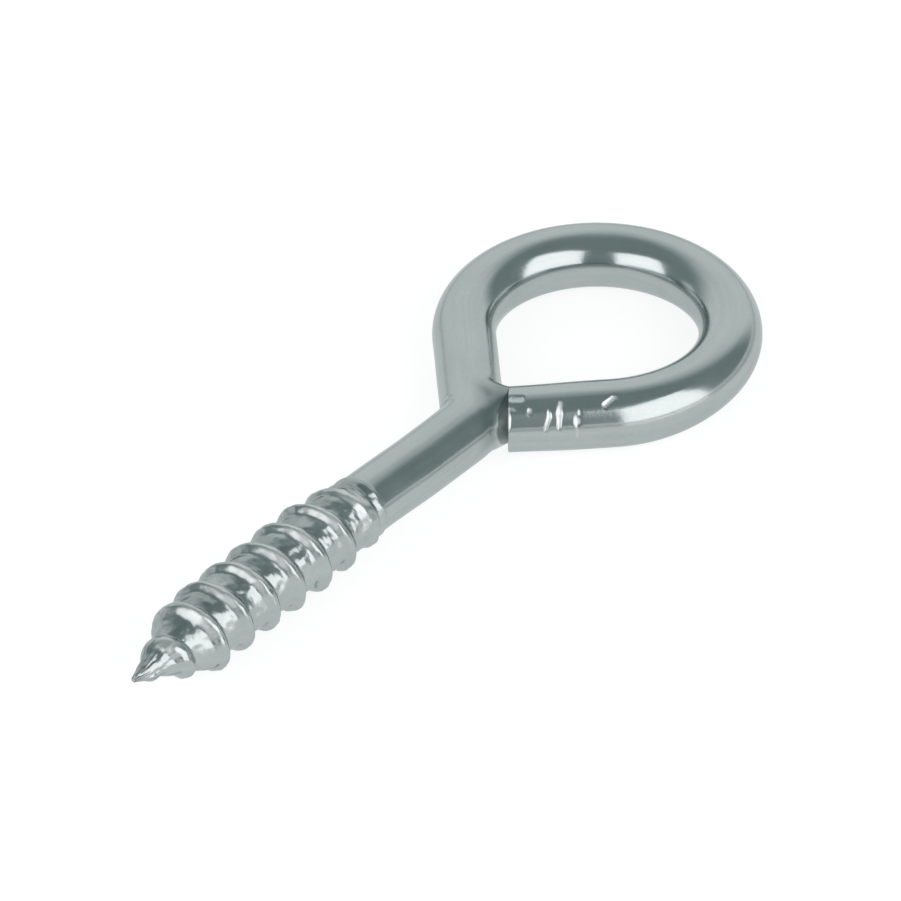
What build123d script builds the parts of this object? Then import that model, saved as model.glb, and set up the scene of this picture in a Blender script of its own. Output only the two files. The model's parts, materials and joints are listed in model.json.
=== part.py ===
"""Screw eye: one length of steel wire, a closed eye formed at one end and a wood thread rolled on the other.

It is formed with the eye's centre at the origin, the eye flat in XY and the shank running away along -X.
The finished piece is then laid down as it comes to rest: the far side of the eye and the last full turn of
the thread touch z = 0, and the shank rises a little towards the point.
"""

import os
from functools import partial
from math import asin, atan2, ceil, cos, degrees, floor, hypot, radians, sin, tan

from build123d import *

# Driving sizes, in mm, degrees and turns
overall_length = 80.0         # from the point to the far side of the eye
wire_diameter = 5.8
eye_inner_diameter = 18.0
leg_angle = 45.0              # of the eye's two straight legs to the shank's axis
neck_bend_radius = 3.4        # centre line of the bend between shank and eye
closing_gap = 0.1             # between the cut end and the side of the neck
cut_rim_chamfer = 0.3         # on the cut end's rim

thread_length = 34.0          # from the point to where the ridge has sunk into the shank
thread_diameter = 7.7         # over the crests
thread_root_diameter = 5.6
thread_pitch = 3.62
ridge_foot_width = 2.7
ridge_crest_width = 0.8
ridge_sink = 0.35             # depth of the ridge's foot in the core, so that the two are one
point_length = 8.0            # tapered end of the core
point_diameter = 0.3          # of the blunted tip
run_in_start = 0.6            # turns from the tip to where the ridge starts
run_in_turns = 2.0            # over which the ridge grows to its full height
run_in_first_width = 0.35     # of the ridge where it starts, as a share of its full width
run_out_turns = 1.75          # over which the ridge sinks into the shank
run_out_last_width = 0.7      # of the ridge where it ends, as a share of its full width
run_out_depth = 0.1           # of its crest under the shank's surface, where it ends
section_step = 0.125          # turns between the sections of the run-in and the run-out

# Worked out from these
wire_radius = wire_diameter / 2
root_radius = thread_root_diameter / 2
crest_radius = thread_diameter / 2
eye_radius = eye_inner_diameter / 2 + wire_radius
tip_x = eye_radius + wire_radius - overall_length
thread_end_x = tip_x + thread_length

leg_run = eye_radius / tan(radians(leg_angle))       # from the ring's tangent point to where the legs cross
crossing_x = -eye_radius / sin(radians(leg_angle))
bend_run = neck_bend_radius * tan(radians(leg_angle / 2))
butt_run = (
    closing_gap + wire_radius * (1 + abs(cos(radians(2 * leg_angle))))
) / sin(radians(2 * leg_angle))                      # keeps the square cut end clear of the neck

full_turn = run_in_start + run_in_turns
run_out_end = thread_length / thread_pitch
run_out_start = run_out_end - run_out_turns


def turn_plane(turn):
    """The half plane through the thread's axis at this turn: x runs along the axis, y out from it."""
    angle = radians(360 * turn)
    outward = Vector(0, -sin(angle), cos(angle))
    along = Vector(1, 0, 0)
    return Plane(origin=(tip_x + thread_pitch * turn, 0, 0), x_dir=along, z_dir=along.cross(outward))


def ridge_section(turn, crest, width=1.0):
    """Section of the ridge at a turn, up to the radius crest, at this share of its full width.

    Its foot follows the core under it, a little way in.
    """
    foot_half = width * ridge_foot_width / 2
    crest_half = width * ridge_crest_width / 2
    feet = [core_radius(turn, side * foot_half) * (1 - ridge_sink / root_radius) for side in (-1, 1)]
    with BuildSketch(turn_plane(turn)) as section:
        with BuildLine():
            Polyline(
                (-foot_half, feet[0]),
                (foot_half, feet[1]),
                (crest_half, crest),
                (-crest_half, crest),
                close=True,
            )
        make_face()
    return section.sketch

def core_radius(turn, beside=0.0):
    """Radius of the core beside this turn, from the blunted tip up to the thread's root."""
    taper = min(1, max(0, thread_pitch * turn + beside) / point_length)
    return point_diameter / 2 + taper * (root_radius - point_diameter / 2)

def run_in_section(turn):
    """The ridge rises out of the tapered core and widens as it grows."""
    growth = (turn - run_in_start) / run_in_turns
    crest = core_radius(turn) + growth * (crest_radius - root_radius)
    return ridge_section(turn, crest, run_in_first_width + growth * (1 - run_in_first_width))

def run_out_section(turn):
    """The ridge sinks until its crest lies just under the shank's surface."""
    sunk = (turn - run_out_start) / run_out_turns
    crest = crest_radius + sunk * (wire_radius - run_out_depth - crest_radius)
    return ridge_section(turn, crest, 1 - sunk * (1 - run_out_last_width))

def steps_between(first, last, largest):
    """Evenly spaced turns from first to last, no further apart than largest."""
    count = ceil((last - first) / largest)
    return [first + step * (last - first) / count for step in range(count + 1)]


def full_length(first, last):
    """The full ridge, swept along its helix from one turn to another."""
    with BuildPart() as length:
        with BuildLine() as helix:
            Helix(
                thread_pitch,
                thread_pitch * (last - first),
                root_radius,
                center=(tip_x + thread_pitch * first, 0, 0),
                direction=(1, 0, 0),
            )
        add(ridge_section(first, crest_radius))
        sweep(path=helix.line.rotate(Axis.X, 360 * first), is_frenet=True)
    return length.part


def growing_length(section_at, first, last):
    """The ridge lofted through its sections, where it grows or sinks, from one turn to another."""
    with BuildPart() as length:
        for turn in steps_between(first, last, section_step):
            add(section_at(turn))
        loft()
    return length.part

def ridge_lengths(first, last, length_between):
    """This stretch of the ridge in lengths of a turn at most, which meet face to face."""
    ends = steps_between(first, last, 1)
    return [length_between(*pair) for pair in zip(ends, ends[1:])]

run_in = ridge_lengths(run_in_start, full_turn, partial(growing_length, run_in_section))
full_ridge = ridge_lengths(full_turn, run_out_start, full_length)
run_out = ridge_lengths(run_out_start, run_out_end, partial(growing_length, run_out_section))

with BuildPart() as formed:
    # The core that the thread stands on: a sharp taper, the root, and a short cone up to the shank
    with BuildSketch(Plane.XZ):
        with BuildLine():
            Polyline(
                (tip_x, 0),
                (tip_x, point_diameter / 2),
                (tip_x + point_length, root_radius),
                (tip_x + thread_pitch * run_out_start, root_radius),
                (thread_end_x, wire_radius),
                (thread_end_x, 0),
                close=True,
            )
        make_face()
    revolve(axis=Axis.X)

    # The plain wire: shank, neck bend, neck leg, ring and closing leg, drawn as one run
    with BuildLine():
        shank = Line((thread_end_x, 0), (crossing_x - bend_run, 0))
        bend = JernArc(shank @ 1, shank % 1, neck_bend_radius, leg_angle)
        neck = PolarLine(bend @ 1, leg_run - bend_run, direction=bend % 1)
        ring = JernArc(neck @ 1, neck % 1, eye_radius, -(180 + 2 * leg_angle))
        closing = PolarLine(ring @ 1, leg_run - butt_run, direction=ring % 1)
    with BuildSketch(Plane(origin=shank @ 0, z_dir=shank % 0)):
        Circle(wire_radius)
    sweep()
    cut_face = formed.faces().sort_by_distance(closing @ 1)[0]
    chamfer(cut_face.edges(), cut_rim_chamfer)

    # The thread
    for length in run_in + full_ridge + run_out:
        add(length)

# Laid down: the ridge points straight down at every half turn, and its last full crest there is a prop
prop_turn = floor(run_out_start - 0.5) + 0.5
prop_span = eye_radius - (tip_x + thread_pitch * prop_turn)
tilt = max(0, atan2(crest_radius, prop_span) - asin(wire_radius / hypot(crest_radius, prop_span)))
eye_height = wire_radius + eye_radius * sin(tilt)
eye_x = -(wire_radius + (eye_radius + tip_x) * cos(tilt)) / 2

with BuildPart() as screw_eye:
    with Locations(Location((eye_x, 0, eye_height), (0, degrees(tilt), 0))):
        add(formed.part)
screw_eye.part.label = "screw_eye"

os.makedirs("parts", exist_ok=True)
export_step(screw_eye.part, "parts/screw_eye.step")
print("laid down: tilt", degrees(tilt), "eye centre", (eye_x, 0, eye_height))
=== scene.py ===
"""Zinc-plated wire screw eye: closed eye, plain shank and rolled wood thread with a gimlet point.

The wire is a grid of points: stations along its centre line, with a ring of points round each. Lengths are in
mm in the eye's own frame: the origin is the eye's centre, x goes from the point to the eye, and z is square
to the ring. The mesh is then made in metres in the part's frame.
"""

import json
from math import cos, pi, radians, sin, tan

import bpy
import numpy as np
from mathutils import Matrix, Vector, noise


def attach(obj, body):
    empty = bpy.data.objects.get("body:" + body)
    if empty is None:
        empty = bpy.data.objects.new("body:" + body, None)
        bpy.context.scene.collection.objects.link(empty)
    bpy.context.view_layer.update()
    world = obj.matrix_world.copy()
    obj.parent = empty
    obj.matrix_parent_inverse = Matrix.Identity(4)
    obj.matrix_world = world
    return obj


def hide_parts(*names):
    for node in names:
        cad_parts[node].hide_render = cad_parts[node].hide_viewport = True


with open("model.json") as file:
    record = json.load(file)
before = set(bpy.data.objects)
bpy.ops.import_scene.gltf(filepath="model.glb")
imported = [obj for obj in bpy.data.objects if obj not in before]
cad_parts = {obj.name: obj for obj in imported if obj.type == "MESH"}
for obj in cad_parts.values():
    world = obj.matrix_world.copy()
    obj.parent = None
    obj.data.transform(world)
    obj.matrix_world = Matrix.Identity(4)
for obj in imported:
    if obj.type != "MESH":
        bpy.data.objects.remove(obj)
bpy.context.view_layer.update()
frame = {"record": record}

MM = 0.001


def smooth(value):
    value = np.clip(value, 0, 1)
    return value * value * (3 - 2 * value)


def ramp(value, start, end):
    """Goes smoothly from 0 at start to 1 at end. The end may be the smaller of the two."""
    return smooth((value - start) / (end - start))


# ---------------------------------------------------------------- sizes, from the record and part.py
mounts = {mount["name"]: mount for mount in frame["record"]["mounts"]}
eye_mount, thread_mount = mounts["eye"], mounts["thread"]

WIRE_RADIUS = eye_mount["dims"]["length_mm"] / 2
EYE_RADIUS = eye_mount["dims"]["r_mm"] + WIRE_RADIUS        # to the wire's middle
THREAD_LENGTH = thread_mount["dims"]["length_mm"]
CREST_RADIUS = thread_mount["dims"]["r_mm"]
PITCH = 3.62
LEG_ANGLE = radians(45)
NECK_BEND_RADIUS = 3.4

eye_z = Vector(eye_mount["axis"]).normalized()
eye_x = -Vector(thread_mount["axis"]).normalized()
eye_y = eye_z.cross(eye_x)
eye_centre = Vector(eye_mount["pos_m"])
EYE_FRAME = Matrix.Translation(eye_centre) @ Matrix((eye_x, eye_y, eye_z)).transposed().to_4x4()
TIP_X = (EYE_FRAME.inverted() @ Vector(thread_mount["pos_m"])).x / MM - THREAD_LENGTH / 2

# ---------------------------------------------------------------- the wire's centre line
CLOSING_GAP = 0.01
NECK_SHIFT = 0.33           # of the neck away from the cut end, which follows it
LEG_BOW = 0.16              # of the closing leg, away from the inside of the eye

AROUND = 104                # points round the wire
STATION_STEPS = {"thread": 0.08, "shank": 0.35, "bend": 0.06, "neck": 0.3, "ring": 0.35, "closing": 0.05}

leg_run = EYE_RADIUS / tan(LEG_ANGLE)
crossing_x = -EYE_RADIUS / sin(LEG_ANGLE)
bend_run = NECK_BEND_RADIUS * tan(LEG_ANGLE / 2)
butt_run = CLOSING_GAP + WIRE_RADIUS - NECK_SHIFT


def square_to(heading):
    """The direction to the left of a heading."""
    return np.array((-sin(heading), cos(heading)))


class Path:
    """Stations along the wire: its middle, its heading and the stretch that each one belongs to."""

    def __init__(self, start):
        self.here, self.heading = np.array(start), 0
        self.points, self.headings, self.kinds = [], [], []

    def add(self, point, heading, kind):
        self.points.append(point)
        self.headings.append(heading)
        self.kinds.append(kind)

    def run(self, length, kind, last=False):
        count = max(2, int(round(length / STATION_STEPS[kind])))
        direction = np.array((cos(self.heading), sin(self.heading)))
        for i in range(count + (1 if last else 0)):
            self.add(self.here + direction * length * i / count, self.heading, kind)
        self.here = self.here + direction * length

    def arc(self, radius, angle, kind):
        """Turns left where the angle is positive."""
        side = 1 if angle > 0 else -1
        middle = self.here + side * radius * square_to(self.heading)
        count = max(3, int(round(radius * abs(angle) / STATION_STEPS[kind])))
        for i in range(count):
            heading = self.heading + angle * i / count
            self.add(middle - side * radius * square_to(heading), heading, kind)
        self.heading = self.heading + angle
        self.here = middle - side * radius * square_to(self.heading)


path = Path((TIP_X, 0.0))
path.run(THREAD_LENGTH, "thread")
path.run(crossing_x - bend_run - path.here[0], "shank")
path.arc(NECK_BEND_RADIUS, LEG_ANGLE, "bend")
path.run(leg_run - bend_run, "neck")
path.arc(EYE_RADIUS, -(pi + 2 * LEG_ANGLE), "ring")
path.run(leg_run - butt_run, "closing", last=True)

points = np.array(path.points)
headings = np.array(path.headings)
kinds = np.array(path.kinds)
along = np.concatenate(([0], np.cumsum(np.hypot(*np.diff(points, axis=0).T))))
total = along[-1]
bend_start = along[kinds == "bend"][0]
neck_start = along[kinds == "neck"][0]
stations = len(points)
grid_shape = (stations, AROUND)

# what varies along the wire is a column from here on, and what varies round it is a row
s, to_end = along[:, None], total - along[:, None]
turn = (2 * pi * np.arange(AROUND) / AROUND)[None, :]
across, upward = np.cos(turn), np.sin(turn)
degrees_round = (np.degrees(turn) + 180) % 360 - 180        # 0 at the wire's left, 90 at its top

# the neck is bent a little further over than its centre line, and the closing leg is bowed outwards
cut_way = np.array((cos(-LEG_ANGLE), sin(-LEG_ANGLE)))      # from the crossing of the legs to the cut end
side_way = np.array((sin(LEG_ANGLE), cos(LEG_ANGLE)))       # square to it, towards the inside of the eye
shifted = ramp(s, bend_start - 1.0, bend_start + 1.6) * ramp(s, neck_start + 12, neck_start + 2)
bowed = ramp(to_end, 20, 10) * ramp(to_end, -4, 5)
points = points - NECK_SHIFT * shifted * cut_way - LEG_BOW * bowed * side_way

# ---------------------------------------------------------------- the thread
VALLEY_RADIUS = 2.83
RIDGE_HEIGHT = CREST_RADIUS - VALLEY_RADIUS
CREST_SHIFT = 0.10          # of the whole helix, along the wire
CREST_SLOPE = 1.35          # of the flank that faces the point, beside the crest
CREST_STEP = 0.57           # height of that steep part; the flank then falls slowly to the valley
CREST_STEP_ROUND = 0.16
CREST_ROUND = 0.28
LONG_FLANK = 2.55           # length of the flank that faces the point
SHORT_FLANK = 1.15          # and of the flank that faces the shank
FLANKS_ROUND = 0.10         # where the two flanks meet

POINT_RADIUS = 0.25
POINT_LENGTH = 7.6
RIDGE_RISE = 8.3            # from the tip to where the ridge has its full height
RUN_OUT = 11.0              # over which the ridge sinks
RUN_OUT_END = 34.8
THREAD_STOP = 32.1          # where what is left of the ridge ends
STOP_LENGTH = 1.2           # over which it does

TOOTH_HEIGHT = 0.36         # the first full crest is drawn out on one side
TOOTH_AT, TOOTH_DEGREES = 7.4, 205
TOOTH_LENGTH, TOOTH_WIDTH = 1.5, 32         # in mm and in degrees

END_RINGS = ((30.55, 0.16), (31.7, 0.17))   # two narrow rings at the thread's end: where, and how high
RING_RISE, RING_FALL = 0.75, 0.35
RING_DEGREES, RING_EVEN = 140, 0.7          # where they are highest, and the part of it that goes all round

WAVES = ((0.085, 0.55), (0.055, 1.5), (0.02, 3.4))      # height and fineness, on the rolled surface

THREAD_YAW = tan(radians(0.7))              # the thread runs a little out of line with the shank
YAW_OFFSET, YAW_ORIGIN = 0.22, 36.0         # how far off the shank's line it is, and where


def soft_corner(value, width):
    """The distance from zero, with its corner rounded."""
    return np.hypot(value, width) - width


def ridge_profile():
    """Height of the helical ridge over the valley, where it has its full size."""
    turns = (s - CREST_SHIFT) / PITCH - (turn - pi / 2) / (2 * pi)
    past_crest = (turns % 1) * PITCH
    past_soft = soft_corner(past_crest, CREST_ROUND)
    to_soft = soft_corner(PITCH - past_crest, CREST_ROUND)
    steep = CREST_STEP - CREST_SLOPE * to_soft
    steep = (steep + np.hypot(steep, CREST_STEP_ROUND)) / 2
    long_flank = (RIDGE_HEIGHT - CREST_STEP) * np.clip(1 - to_soft / LONG_FLANK, 0, 1) + steep
    short_flank = RIDGE_HEIGHT * smooth(1 - past_soft / SHORT_FLANK)
    return (long_flank + short_flank + np.hypot(long_flank - short_flank, FLANKS_ROUND)) / 2


def first_tooth():
    lengthwise = np.exp(-((s - TOOTH_AT) / TOOTH_LENGTH) ** 2)
    return TOOTH_HEIGHT * lengthwise * np.exp(-((np.degrees(turn) - TOOTH_DEGREES) / TOOTH_WIDTH) ** 2)


def end_ring(ring_at, ring_height):
    rise = ramp(s, ring_at - RING_RISE, ring_at)
    fall = ramp(s, ring_at + RING_FALL, ring_at)
    one_sided = RING_EVEN + (1 - RING_EVEN) * np.cos(turn - radians(RING_DEGREES))
    return ring_height * np.where(s < ring_at, rise, fall) * one_sided


def rolled_waves(radius):
    """The crests wander in height and the flanks are mottled."""
    waves = np.zeros(grid_shape)
    for i in np.nonzero(along < RUN_OUT_END + 1)[0]:
        for j in range(AROUND):
            at = Vector((along[i], radius[i, j] * across[0, j], radius[i, j] * upward[0, j]))
            waves[i, j] = sum(height * noise.noise(at * fineness) for height, fineness in WAVES)
    return waves


ridge = ridge_profile()
threaded = ramp(s, RUN_OUT_END, RUN_OUT_END - RUN_OUT)
core = POINT_RADIUS + (VALLEY_RADIUS - POINT_RADIUS) * np.clip(s / POINT_LENGTH, 0, 1)
core = core * threaded + WIRE_RADIUS * (1 - threaded)
radius = core + ridge * np.clip(s / RIDGE_RISE, 0, 1) * threaded + first_tooth()
radius = WIRE_RADIUS + (radius - WIRE_RADIUS) * ramp(s, THREAD_STOP, THREAD_STOP - STOP_LENGTH)
for ring in END_RINGS:
    radius = radius + end_ring(*ring)
on_thread = ramp(s, 0, 2) * ramp(s, THREAD_STOP + 0.4, THREAD_STOP - 1.1)      # where the surface is rolled
radius = radius + rolled_waves(radius) * on_thread
astray = (YAW_OFFSET - THREAD_YAW * (YAW_ORIGIN - s)) * ramp(s, 40, 32)

# ---------------------------------------------------------------- the bent wire's section
BENT_NARROWER = 0.012       # shares of the wire's radius
CLOSING_WIDER, CLOSING_HIGHER = 0.07, 0.05
CUT_END_LESS = 0.7          # of the closing leg's swelling is gone at its cut end
INNER_BEND_FILL = 0.24      # in mm
FILL_AT, FILL_LENGTH = 1.2, 2.6     # after the bend's start
CUT_SLANT = tan(radians(7))
RIM = 0.14                  # rounding of the cut end's rim

# marks left by the tool: from and to as (mm from the cut end, degrees round), half width, depth
MARKS = (
    ((0.3, 75), (1.15, 74), 0.24, 0.23),
    ((0.0, 54), (0.0, 22), 0.22, 0.09),
    ((0.3, 54), (0.55, 52), 0.20, 0.06),
    ((1.8, 51), (1.8, 47), 0.20, 0.07),
    ((3.4, 46), (3.45, 38), 0.15, 0.04),
    ((3.45, 38), (3.05, 16), 0.17, 0.05),
    ((4.5, 60), (4.35, 41), 0.24, 0.09),
    ((4.35, 41), (4.25, 18), 0.19, 0.06),
    ((5.9, 29), (5.9, 25), 0.27, 0.07),
    ((6.15, 42), (6.15, 40), 0.16, 0.03),
    ((5.85, 20), (5.8, -2), 0.15, 0.015),
    ((9.25, 64), (8.4, 51), 0.21, 0.15),
)
# the marks are also painted lighter, as scraped metal and as painted glints
SINK_WIDTH, SCRAPE_AND_GLINT_WIDTH = 1.6, 1.3    # of a mark's two fades, as shares of its half width
SCRAPE_AND_GLINT_PER_DEPTH = 12

bent = ramp(s, bend_start, bend_start + 4)
closing_leg = ramp(to_end, 21, 11) * (1 - CUT_END_LESS * ramp(to_end, 7, 0))
half_width = radius * (1 - BENT_NARROWER * bent + CLOSING_WIDER * closing_leg)
half_height = radius * (1 + CLOSING_HIGHER * closing_leg)
inner_bend = np.exp(-((s - bend_start - FILL_AT) / FILL_LENGTH) ** 2) * ramp(across, 0, 0.9)
half_width = half_width + INNER_BEND_FILL * inner_bend


def tool_marks():
    """How far the marks are sunk into the wire, and how much lighter their plate is painted: scraped metal,
    which also stands in for their glints as a painted highlight.
    """
    sunk, scrape_and_painted_light = np.zeros(grid_shape), np.zeros(grid_shape)
    arc = np.radians(degrees_round) * WIRE_RADIUS
    for (start, start_degrees), (end, end_degrees), half, depth in MARKS:
        start_arc = radians(start_degrees) * WIRE_RADIUS
        run, rise = end - start, radians(end_degrees) * WIRE_RADIUS - start_arc
        share = ((to_end - start) * run + (arc - start_arc) * rise) / (run * run + rise * rise)
        share = np.clip(share, 0, 1)
        away = np.hypot(to_end - start - share * run, arc - start_arc - share * rise)
        sunk += depth * smooth(1 - away / (SINK_WIDTH * half))
        scrape_and_painted_light += SCRAPE_AND_GLINT_PER_DEPTH * depth * smooth(1 - away / (SCRAPE_AND_GLINT_WIDTH * half))
    return sunk, scrape_and_painted_light


sunk, mark_scrape_and_glint = tool_marks()
past_rim = np.clip((RIM - to_end) / RIM, 0, 1)
taken_off = sunk + RIM * (1 - np.sqrt(1 - past_rim * past_rim))
offset_in = (half_width - taken_off) * across
offset_up = (half_height - taken_off) * upward

xyz = np.empty(grid_shape + (3,))
xyz[..., 0] = points[:, :1] - np.sin(headings)[:, None] * offset_in
xyz[..., 1] = points[:, 1:] + np.cos(headings)[:, None] * offset_in + astray
xyz[..., 2] = offset_up

# ---------------------------------------------------------------- the heel, which fills the corner by the cut
HEEL_REACH = 9              # of the wire on each side of the neck's start that may be changed
HEEL_INSET = 0.06           # it goes on from the shank, a little smaller
HEEL_BULGE = 0.26           # but is fuller underneath, by the cut end
HEEL_ROUND = 2.82           # and stays within the closing leg's round
HEEL_START = 0.8            # it lies between these, from the crossing of the legs towards the cut end
HEEL_END = WIRE_RADIUS - NECK_SHIFT + 0.4       # hidden in the closing leg
EDGE_ROUND, START_ROUND, END_ROUND = 0.5, 0.8, 0.1      # of the edges between those limits
HEEL_FILLET = 0.5           # between the wire and it
INNER_FILLET = 1.2          # is added to that towards the inside of the eye
GROW_STEP, GROW_STEPS = 0.03, 110


def rounded_least(a, b, width):
    share = np.clip(0.5 + 0.5 * (b - a) / width, 0, 1)
    return b + (a - b) * share - width * share * (1 - share)


def rounded_most(a, b, width):
    return -rounded_least(-a, -b, width)


def corner_frame(at):
    """How far each point is from the crossing of the legs, towards the cut end and the inside of the eye."""
    from_crossing = at[..., :2] - np.array((crossing_x, 0.0))
    return from_crossing @ cut_way, from_crossing @ side_way


def outside_heel(at, beyond_wire):
    """Positive outside the heel and the wire together. The points are this far beyond the wire alone."""
    out, side = corner_frame(at)
    bulge = HEEL_BULGE * ramp(out, 0.3, 2.9) * ramp(at[..., 2], 0.5, -1.1)
    from_shank = np.hypot(at[..., 1], at[..., 2]) - WIRE_RADIUS + HEEL_INSET - bulge
    from_leg = np.hypot(side, at[..., 2]) - HEEL_ROUND
    heel = rounded_most(from_shank, from_leg, EDGE_ROUND)
    heel = rounded_most(heel, out - HEEL_END, END_ROUND)
    heel = rounded_most(heel, HEEL_START - out, START_ROUND)
    return rounded_least(beyond_wire, heel, HEEL_FILLET + INNER_FILLET * ramp(side, -0.2, 2.3))


def grow_heel(rows):
    """Moves the points of these stations outwards to the surface of the heel and the wire together."""
    spokes = xyz[rows]
    spokes[..., :2] -= points[rows][:, None, :]
    spokes /= np.linalg.norm(spokes, axis=-1, keepdims=True)
    grown = np.zeros(spokes.shape[:2])
    before = outside_heel(xyz[rows], grown)
    for i in range(1, GROW_STEPS):
        beyond = np.full(grown.shape, i * GROW_STEP)
        after = outside_heel(xyz[rows] + spokes * beyond[..., None], beyond)
        crossed = (before < 0) & (after >= 0) & (grown == 0)
        grown = np.where(crossed, (i - 1 + before / np.minimum(before - after, -1e-9)) * GROW_STEP, grown)
        before = after
    xyz[rows] += spokes * grown[..., None]


by_the_joint = np.isin(kinds, ("shank", "bend", "neck")) & (np.abs(along - neck_start) < HEEL_REACH)
grow_heel(np.nonzero(by_the_joint)[0])

# the wire was cut a little aslant, so that the end's outer side is the longer
slant = CUT_SLANT * offset_in * ramp(to_end, 3, 0)
xyz[..., 0] += slant * np.cos(headings)[:, None]
xyz[..., 1] += slant * np.sin(headings)[:, None]

# ---------------------------------------------------------------- the mesh
verts = [Vector(v) * MM for v in xyz.reshape(-1, 3)]
faces = []
for i in range(stations - 1):
    for j in range(AROUND):
        k = (j + 1) % AROUND
        faces.append((i * AROUND + j, i * AROUND + k, (i + 1) * AROUND + k, (i + 1) * AROUND + j))


def cap(row, inset_rings, flip):
    """Closes a row with rings that shrink to its middle."""
    ring = list(range(row * AROUND, (row + 1) * AROUND))
    middle = sum((verts[v] for v in ring), Vector()) / AROUND
    for share in inset_rings:
        new = []
        for v in ring:
            new.append(len(verts))
            verts.append(middle + (verts[v] - middle) * share)
        for j in range(AROUND):
            k = (j + 1) % AROUND
            quad = (ring[j], ring[k], new[k], new[j])
            faces.append(quad[::-1] if flip else quad)
        ring = new
    tip = len(verts)
    verts.append(middle)
    for j in range(AROUND):
        tri = (ring[j], ring[(j + 1) % AROUND], tip)
        faces.append(tri[::-1] if flip else tri)


cap(0, inset_rings=(0.5,), flip=True)
cap(stations - 1, inset_rings=(0.97, 0.6, 0.25), flip=False)


def smooth_object(name, verts, faces):
    """A mesh object in the scene, with smooth shading."""
    data = bpy.data.meshes.new(name)
    data.from_pydata(verts, [], faces)
    data.validate()
    data.update()
    data.polygons.foreach_set("use_smooth", [True] * len(data.polygons))
    thing = bpy.data.objects.new(name, data)
    bpy.context.scene.collection.objects.link(thing)
    return thing


wire = smooth_object("screw_eye_wire", [EYE_FRAME @ v for v in verts], faces)

# ---------------------------------------------------------------- what the material reads at each point
# painted light beside the joint's lower part, where the crevice would be dark, and a painted highlight on the
# upper side of the crests
PAINTED_LIGHT_BY_JOINT, PAINTED_HIGHLIGHT_ON_CRESTS = 0.55, 0.5      # how strongly, where 1 is in full
# painted shade on the heel, beside the joint on top, and on the thread's upper side
PAINTED_SHADE_HEEL, PAINTED_SHADE_JOINT_TOP, PAINTED_SHADE_THREAD = 0.55, 0.3, 0.6
SHADE_CREST_SHARE = 0.1            # the crests' share of what the valleys have


def store(name, values):
    """Keeps one number for each point of the grid. The caps have 0."""
    numbers = np.zeros(len(verts), np.float32)
    numbers[: stations * AROUND] = np.broadcast_to(values, grid_shape).ravel()
    wire.data.attributes.new(name, "FLOAT", "POINT").data.foreach_set("value", numbers)


def store_straightened():
    """Keeps where each point would be on a straight wire, so that patterns follow the bends."""
    places = np.zeros((len(verts), 3), np.float32)
    on_grid = np.broadcast_arrays(WIRE_RADIUS * across, WIRE_RADIUS * upward, s)
    places[: stations * AROUND] = np.stack(on_grid, -1).reshape(-1, 3)
    places[stations * AROUND:, 2] = total
    attribute = wire.data.attributes.new("straightened", "FLOAT_VECTOR", "POINT")
    attribute.data.foreach_set("vector", places.ravel())


out, side = corner_frame(xyz)
on_top = ramp(xyz[..., 2], 1.6, 2.5)
in_valley = 1 - smooth(ridge / RIDGE_HEIGHT)

# painted light: the plate is lightened beside the joint's lower part and, as a painted highlight, on one side
# of the crests, the upper one; in the tool's marks it is lighter as scraped metal and as painted glints
beside_joint = by_the_joint[:, None] * ramp(out, 1.0, 2.0) * ramp(side, 7.5, 4.5)
crest_side = ramp(degrees_round, 70, 100) * ramp(degrees_round, 150, 120)
painted_crest_highlight = PAINTED_HIGHLIGHT_ON_CRESTS * on_thread * crest_side * ramp(in_valley, 0.75, 0.25)
scrape_and_painted_light = mark_scrape_and_glint + PAINTED_LIGHT_BY_JOINT * beside_joint * (1 - on_top) + painted_crest_highlight

# painted shade: the plate is darkened on the heel's upper part, beside the joint on top, and on the thread's
# upper side, most in its valleys
heel = ramp(out, -1.0, 0.6) * ramp(side, 3.5, 0.5) * ramp(xyz[..., 2], -0.9, 0.3)
heel = heel * (1 - ramp(out, 0.9, 1.7) * (1 - on_top))
upper_side = ramp(degrees_round, -30, 10) * ramp(degrees_round, 150, 105)
# painted shade in the valleys of the thread's upper side, and a little on its crests
painted_thread_shade = PAINTED_SHADE_THREAD * on_thread * upper_side * (SHADE_CREST_SHARE + (1 - SHADE_CREST_SHARE) * in_valley)
painted_shade = by_the_joint[:, None] * (PAINTED_SHADE_HEEL * heel + PAINTED_SHADE_JOINT_TOP * beside_joint * on_top) + painted_thread_shade

store_straightened()
store("rolled", ramp(s, THREAD_STOP + 0.2, THREAD_STOP - 0.6))
# painted light, with the marks' scraped metal, kept for the material
store("painted_light_and_scrape", np.clip(scrape_and_painted_light, 0, 1))
# painted shade, kept for the material
store("painted_shade", np.clip(painted_shade, 0, 1))


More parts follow.
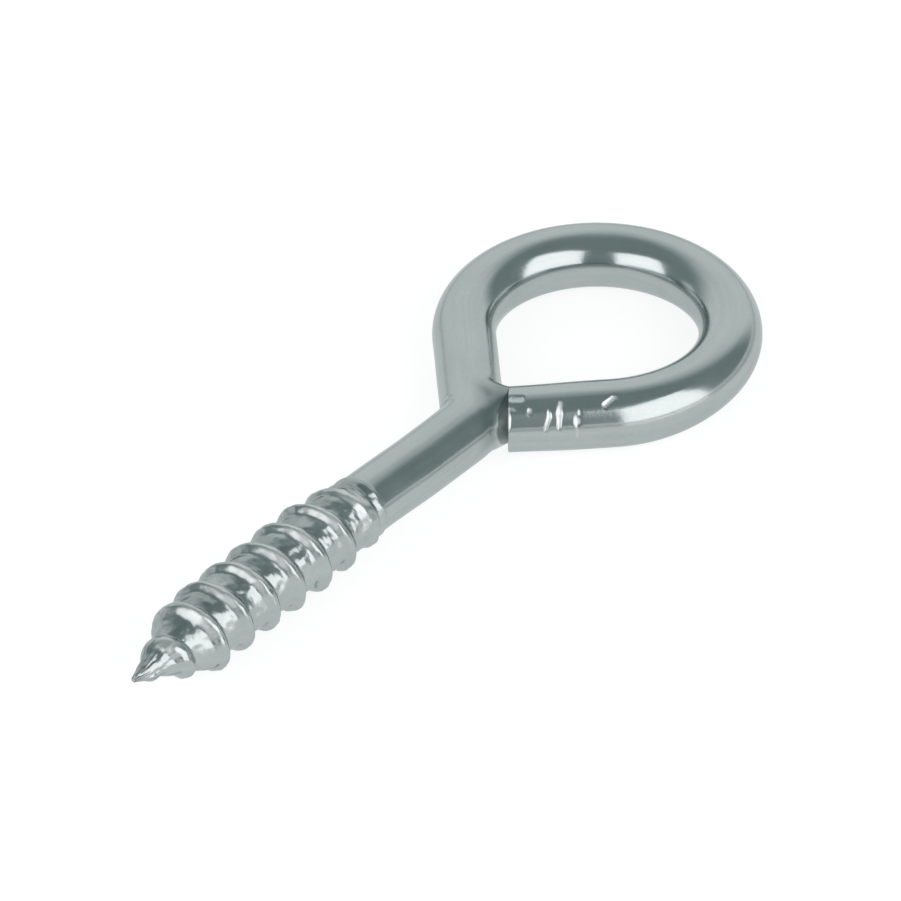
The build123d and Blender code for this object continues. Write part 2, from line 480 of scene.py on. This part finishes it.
# ---------------------------------------------------------------- node trees
class Nodes:
    """The nodes of a material or a world. A value may be a number or the output of another node."""

    def __init__(self, owner):
        owner.use_nodes = True
        self.tree = owner.node_tree

    def feed(self, socket, value):
        if isinstance(value, bpy.types.NodeSocket):
            self.tree.links.new(value, socket)
        else:
            socket.default_value = value

    def new(self, kind, *values):
        """A node whose first inputs have these values."""
        node = self.tree.nodes.new(kind)
        for socket, value in zip(node.inputs, values):
            self.feed(socket, value)
        return node

    def math(self, operation, *values, clamp=False):
        node = self.new("ShaderNodeMath", *values)
        node.operation = operation
        node.use_clamp = clamp
        return node.outputs[0]

    def times(self, *values):
        product = values[0]
        for value in values[1:]:
            product = self.math("MULTIPLY", product, value)
        return product

    def add(self, *values, clamp=False):
        """The sum, kept between 0 and 1 where it is clamped."""
        total = values[0]
        for value in values[1:-1]:
            total = self.math("ADD", total, value)
        return self.math("ADD", total, values[-1], clamp=clamp)

    def fade(self, value, start, end):
        """Goes smoothly from 0 at start to 1 at end."""
        node = self.new("ShaderNodeMapRange", value, start, end)
        node.interpolation_type = "SMOOTHSTEP"
        return node.outputs["Result"]

    def mix(self, a, b, share_of_b, blend_type="MIX"):
        """A mix of two colours."""
        node = self.new("ShaderNodeMix")
        node.data_type = "RGBA"
        node.blend_type = blend_type
        self.feed(node.inputs["A"], a)
        self.feed(node.inputs["B"], b)
        self.feed(node.inputs["Factor"], share_of_b)
        return node.outputs["Result"]

    def attribute(self, name, output="Fac"):
        node = self.new("ShaderNodeAttribute")
        node.attribute_name = name
        return node.outputs[output]

    def stretched(self, vector, scale):
        node = self.new("ShaderNodeVectorMath", vector, scale)
        node.operation = "MULTIPLY"
        return node.outputs[0]

    def mottle(self, vector, scale, detail):
        """Noise round zero."""
        node = self.new("ShaderNodeTexNoise", vector)
        node.inputs["Scale"].default_value = scale
        node.inputs["Detail"].default_value = detail
        node.inputs["Roughness"].default_value = 0.5
        return self.math("SUBTRACT", node.outputs[0], 0.5)


# ---------------------------------------------------------------- zinc plate
PLATE_DARK, PLATE_LIGHT = (0.385, 0.44, 0.43, 1), (0.475, 0.525, 0.515, 1)
# lighter scraped metal in the tool's marks, which also stands in for their glints; painted light beside the
# joint and a painted highlight on the crests
PLATE_SCRAPED_AND_LIT = (0.86, 0.88, 0.87, 1)
PLATE_PAINTED_SHADE = (0.50, 0.53, 0.53, 1)        # the painted shade, which multiplies the others
PLATE_EDGE = (0.80, 0.83, 0.83, 1)          # at a grazing angle
DRAWN_TONE, GRAIN_TONE = 0.8, 0.5           # how much they vary the plate's lightness
PATCH_CONTRAST, PATCH_LEVEL = 3.6, 0.75     # of the patches in which the rolled part gets its painted shade
PLATE_ROUGHNESS, ROLLED_ROUGHER, SCRAPE_AND_LIGHT_ROUGHER = 0.17, 0.07, 0.36
CLOUDY_ROUGHER, DRAWN_ROUGHER = 0.14, 0.07
DENT_DEPTH, PIT_DEPTH, DRAWN_DEPTH, GRAIN_DEPTH = 0.42 * MM, 0.03 * MM, 0.010 * MM, 0.004 * MM


def zinc_plate():
    zinc = bpy.data.materials.new("zinc_plate")
    n = Nodes(zinc)
    shader = n.tree.nodes["Principled BSDF"]
    shader.inputs["Metallic"].default_value = 1.0
    shader.inputs["Specular Tint"].default_value = PLATE_EDGE

    along_wire = n.attribute("straightened", "Vector")
    rolled, painted_light_and_scrape, painted_shade = n.attribute("rolled"), n.attribute("painted_light_and_scrape"), n.attribute("painted_shade")
    plain = n.math("SUBTRACT", 1.0, rolled)
    drawn = n.mottle(n.stretched(along_wire, (1.0, 1.0, 0.035)), 1.7, 3.0)      # lines from the drawing die
    cloudy = n.mottle(n.stretched(along_wire, (1.0, 1.0, 0.4)), 0.5, 3.0)
    grain = n.mottle(along_wire, 3.4, 2.0)
    dents = n.mottle(along_wire, 0.55, 1.0)
    pits = n.mottle(along_wire, 1.5, 1.5)
    patches = n.mottle(along_wire, 0.5, 1.0)

    lightness = n.add(n.times(drawn, DRAWN_TONE), cloudy, n.times(grain, GRAIN_TONE), 0.5, clamp=True)
    patchy = n.math("MAXIMUM", n.add(n.times(patches, PATCH_CONTRAST), PATCH_LEVEL, clamp=True), plain)
    colour = n.mix(PLATE_DARK, PLATE_LIGHT, lightness)
    # lighter where the marks are scraped and where light is painted: glints, beside the joint and on the
    # crests
    colour = n.mix(colour, PLATE_SCRAPED_AND_LIT, painted_light_and_scrape)
    # darker where shade is painted
    colour = n.mix(colour, PLATE_PAINTED_SHADE, n.times(painted_shade, patchy), "MULTIPLY")
    n.feed(shader.inputs["Base Color"], colour)

    rougher = n.add(n.times(cloudy, CLOUDY_ROUGHER), n.times(drawn, DRAWN_ROUGHER))
    rougher = n.add(rougher, n.times(rolled, ROLLED_ROUGHER), n.times(painted_light_and_scrape, SCRAPE_AND_LIGHT_ROUGHER))
    n.feed(shader.inputs["Roughness"], n.add(rougher, PLATE_ROUGHNESS, clamp=True))

    rolling = n.add(n.times(dents, DENT_DEPTH), n.times(pits, PIT_DEPTH))
    lines = n.times(drawn, plain, DRAWN_DEPTH)
    bump = n.new("ShaderNodeBump")
    bump.inputs["Strength"].default_value = 1.0
    bump.inputs["Distance"].default_value = 1.0
    n.feed(bump.inputs["Height"], n.add(lines, n.times(rolling, rolled), n.times(grain, GRAIN_DEPTH)))
    n.feed(shader.inputs["Normal"], bump.outputs["Normal"])
    return zinc


wire.data.materials.append(zinc_plate())
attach(wire, "root")
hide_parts("screw_eye")

# ---------------------------------------------------------------- floor: white paper that rises at its edge
FLAT_RINGS = (0.3, 1.0)     # in metres, as the next two are
FLOOR_RADIUS = 2.0
SWEEP_RADIUS = 0.16
SWEEP_STEPS = 12
SIDES = 96
PAPER_GREY = (0.35, 0.35, 0.35, 1)      # of its matt part, which carries the object's shadow
PAPER_GLOW = 0.80           # added where it is seen, so that it is white
METAL_LESS = 0.09           # so much less where the metal mirrors it
PAPER_GLOSS_ROUGHNESS = 0.08


def floor_mesh():
    profile = [(r, 0.0) for r in (*FLAT_RINGS, FLOOR_RADIUS)]
    for i in range(1, SWEEP_STEPS + 1):
        a = pi / 2 * i / SWEEP_STEPS
        profile.append((FLOOR_RADIUS + SWEEP_RADIUS * sin(a), SWEEP_RADIUS * (1 - cos(a))))
    verts = [(0, 0, 0)]
    for r, z in profile:
        for j in range(SIDES):
            a = 2 * pi * j / SIDES
            verts.append((r * cos(a), r * sin(a), z))
    faces = [(0, 1 + j, 1 + (j + 1) % SIDES) for j in range(SIDES)]
    for i in range(len(profile) - 1):
        for j in range(SIDES):
            a, b = 1 + i * SIDES + j, 1 + i * SIDES + (j + 1) % SIDES
            faces.append((a, a + SIDES, b + SIDES, b))
    return verts, faces


def white_paper():
    """White where it is seen, and at a grazing angle it mirrors the surround, which only the metal sees."""
    paper = bpy.data.materials.new("white_paper")
    n = Nodes(paper)
    n.tree.nodes.clear()
    output = n.new("ShaderNodeOutputMaterial")
    ray = n.new("ShaderNodeLightPath").outputs
    seen = n.math("MAXIMUM", ray["Is Camera Ray"], ray["Is Glossy Ray"])
    seen = n.math("MAXIMUM", seen, ray["Is Transmission Ray"])

    diffuse = n.new("ShaderNodeBsdfDiffuse", PAPER_GREY)
    glow = n.new("ShaderNodeEmission")
    level = n.add(n.times(ray["Is Glossy Ray"], -METAL_LESS), n.times(seen, PAPER_GLOW))
    n.feed(glow.inputs["Strength"], level)
    matt = n.new("ShaderNodeAddShader", diffuse.outputs[0], glow.outputs[0])

    gloss = n.new("ShaderNodeBsdfGlossy")
    gloss.inputs["Roughness"].default_value = PAPER_GLOSS_ROUGHNESS
    grazing = n.fade(n.new("ShaderNodeLayerWeight", 0.5).outputs["Facing"], 0.80, 0.97)
    mirrored = n.times(grazing, ray["Is Glossy Ray"])
    surface = n.new("ShaderNodeMixShader", mirrored, matt.outputs[0], gloss.outputs[0])
    n.feed(output.inputs["Surface"], surface.outputs[0])
    return paper


floor = smooth_object("floor", *floor_mesh())
floor.data.materials.append(white_paper())

# ---------------------------------------------------------------- studio
SURROUND_DARK, SURROUND_LIGHT = (0.275, 0.335, 0.33, 1), (0.93, 0.95, 0.95, 1)
BACKDROP_AZIMUTH = radians(36)
BACKDROP_DROOP = 0.33       # degrees lower for each degree aside
LAMP_COLOUR = (1.0, 0.912, 0.94)
LAMP_DISTANCE = 1.5         # in metres


def studio():
    """A dark surround with a white backdrop behind the object, seen from the camera."""
    world = bpy.data.worlds.new("studio")
    n = Nodes(world)
    direction = n.new("ShaderNodeTexCoord").outputs["Generated"]
    x, y, z = n.new("ShaderNodeSeparateXYZ", direction).outputs
    elevation = n.times(n.math("ARCSINE", z), 180 / pi)
    facing = n.add(n.times(x, cos(BACKDROP_AZIMUTH)), n.times(y, sin(BACKDROP_AZIMUTH)))
    sideways = n.math("SUBTRACT", n.times(y, cos(BACKDROP_AZIMUTH)), n.times(x, sin(BACKDROP_AZIMUTH)))
    bearing = n.times(n.math("ARCTAN2", sideways, facing), 180 / pi)

    # it fades upwards and to its sides, in degrees, and goes on further to the left as a low strip
    lowered = n.add(elevation, n.times(n.math("ABSOLUTE", bearing), BACKDROP_DROOP))
    backdrop = n.times(n.fade(bearing, 74, 38), n.fade(bearing, -56, -34), n.fade(lowered, 86, 40))
    strip = n.times(n.fade(bearing, 68, 74), n.fade(bearing, 92, 82), n.fade(elevation, 20, 6))
    colour = n.mix(SURROUND_DARK, SURROUND_LIGHT, n.math("MAXIMUM", backdrop, strip))
    n.feed(n.tree.nodes["Background"].inputs["Color"], colour)
    return world


def softbox(name, azimuth, width, elevation_low, elevation_high, level):
    """An upright rectangular lamp, facing the object, that covers these angles in degrees."""
    low, high = (LAMP_DISTANCE * tan(radians(elevation)) for elevation in (elevation_low, elevation_high))
    lamp = bpy.data.lights.new(name, "AREA")
    lamp.shape = "RECTANGLE"
    lamp.size = 2 * LAMP_DISTANCE * tan(radians(width / 2))
    lamp.size_y = high - low
    lamp.color = LAMP_COLOUR
    lamp.energy = level * pi * lamp.size * lamp.size_y
    thing = bpy.data.objects.new(name, lamp)
    bpy.context.scene.collection.objects.link(thing)
    towards = Vector((cos(radians(azimuth)), sin(radians(azimuth)), 0))
    thing.location = towards * LAMP_DISTANCE + Vector((0, 0, (low + high) / 2))
    thing.rotation_mode = "QUATERNION"
    thing.rotation_quaternion = towards.to_track_quat("Z", "Y")


bpy.context.scene.world = studio()
softbox("softbox_left", azimuth=173.75, width=53.5, elevation_low=3, elevation_high=46.5, level=1.70)
softbox("softbox_right", azimuth=267.25, width=63.5, elevation_low=3, elevation_high=54, level=1.72)

# ---------------------------------------------------------------- camera
VIEW_AZIMUTH = radians(-51.0)       # in the eye's own frame
VIEW_ELEVATION = radians(36.7)
VIEW_ROLL = radians(-0.2)
VIEW_DISTANCE = 1.7                 # in metres, as the next two are
FRAME_WIDTH = 80.5 * MM
AIM_RIGHT, AIM_UP = -13.12 * MM, -10.49 * MM        # of the frame's middle, from the eye's centre
SENSOR_WIDTH = 36


def place_camera():
    right = Vector((cos(VIEW_AZIMUTH), sin(VIEW_AZIMUTH), 0))
    level_back = Vector((sin(VIEW_AZIMUTH), -cos(VIEW_AZIMUTH), 0))
    back = level_back * cos(VIEW_ELEVATION) + Vector((0, 0, sin(VIEW_ELEVATION)))
    up = back.cross(right)
    roll = Matrix.Rotation(VIEW_ROLL, 3, back)
    axes = EYE_FRAME.to_3x3() @ Matrix((roll @ right, roll @ up, back)).transposed()
    aim = eye_centre + axes.col[0] * AIM_RIGHT + axes.col[1] * AIM_UP

    data = bpy.data.cameras.new("camera")
    data.sensor_width = SENSOR_WIDTH
    data.lens = SENSOR_WIDTH * VIEW_DISTANCE / FRAME_WIDTH
    data.clip_start, data.clip_end = 0.05, 10
    camera = bpy.data.objects.new("camera", data)
    bpy.context.scene.collection.objects.link(camera)
    camera.matrix_world = Matrix.Translation(aim + axes.col[2] * VIEW_DISTANCE) @ axes.to_4x4()
    bpy.context.scene.camera = camera


place_camera()
bpy.context.scene.view_settings.view_transform = "Standard"
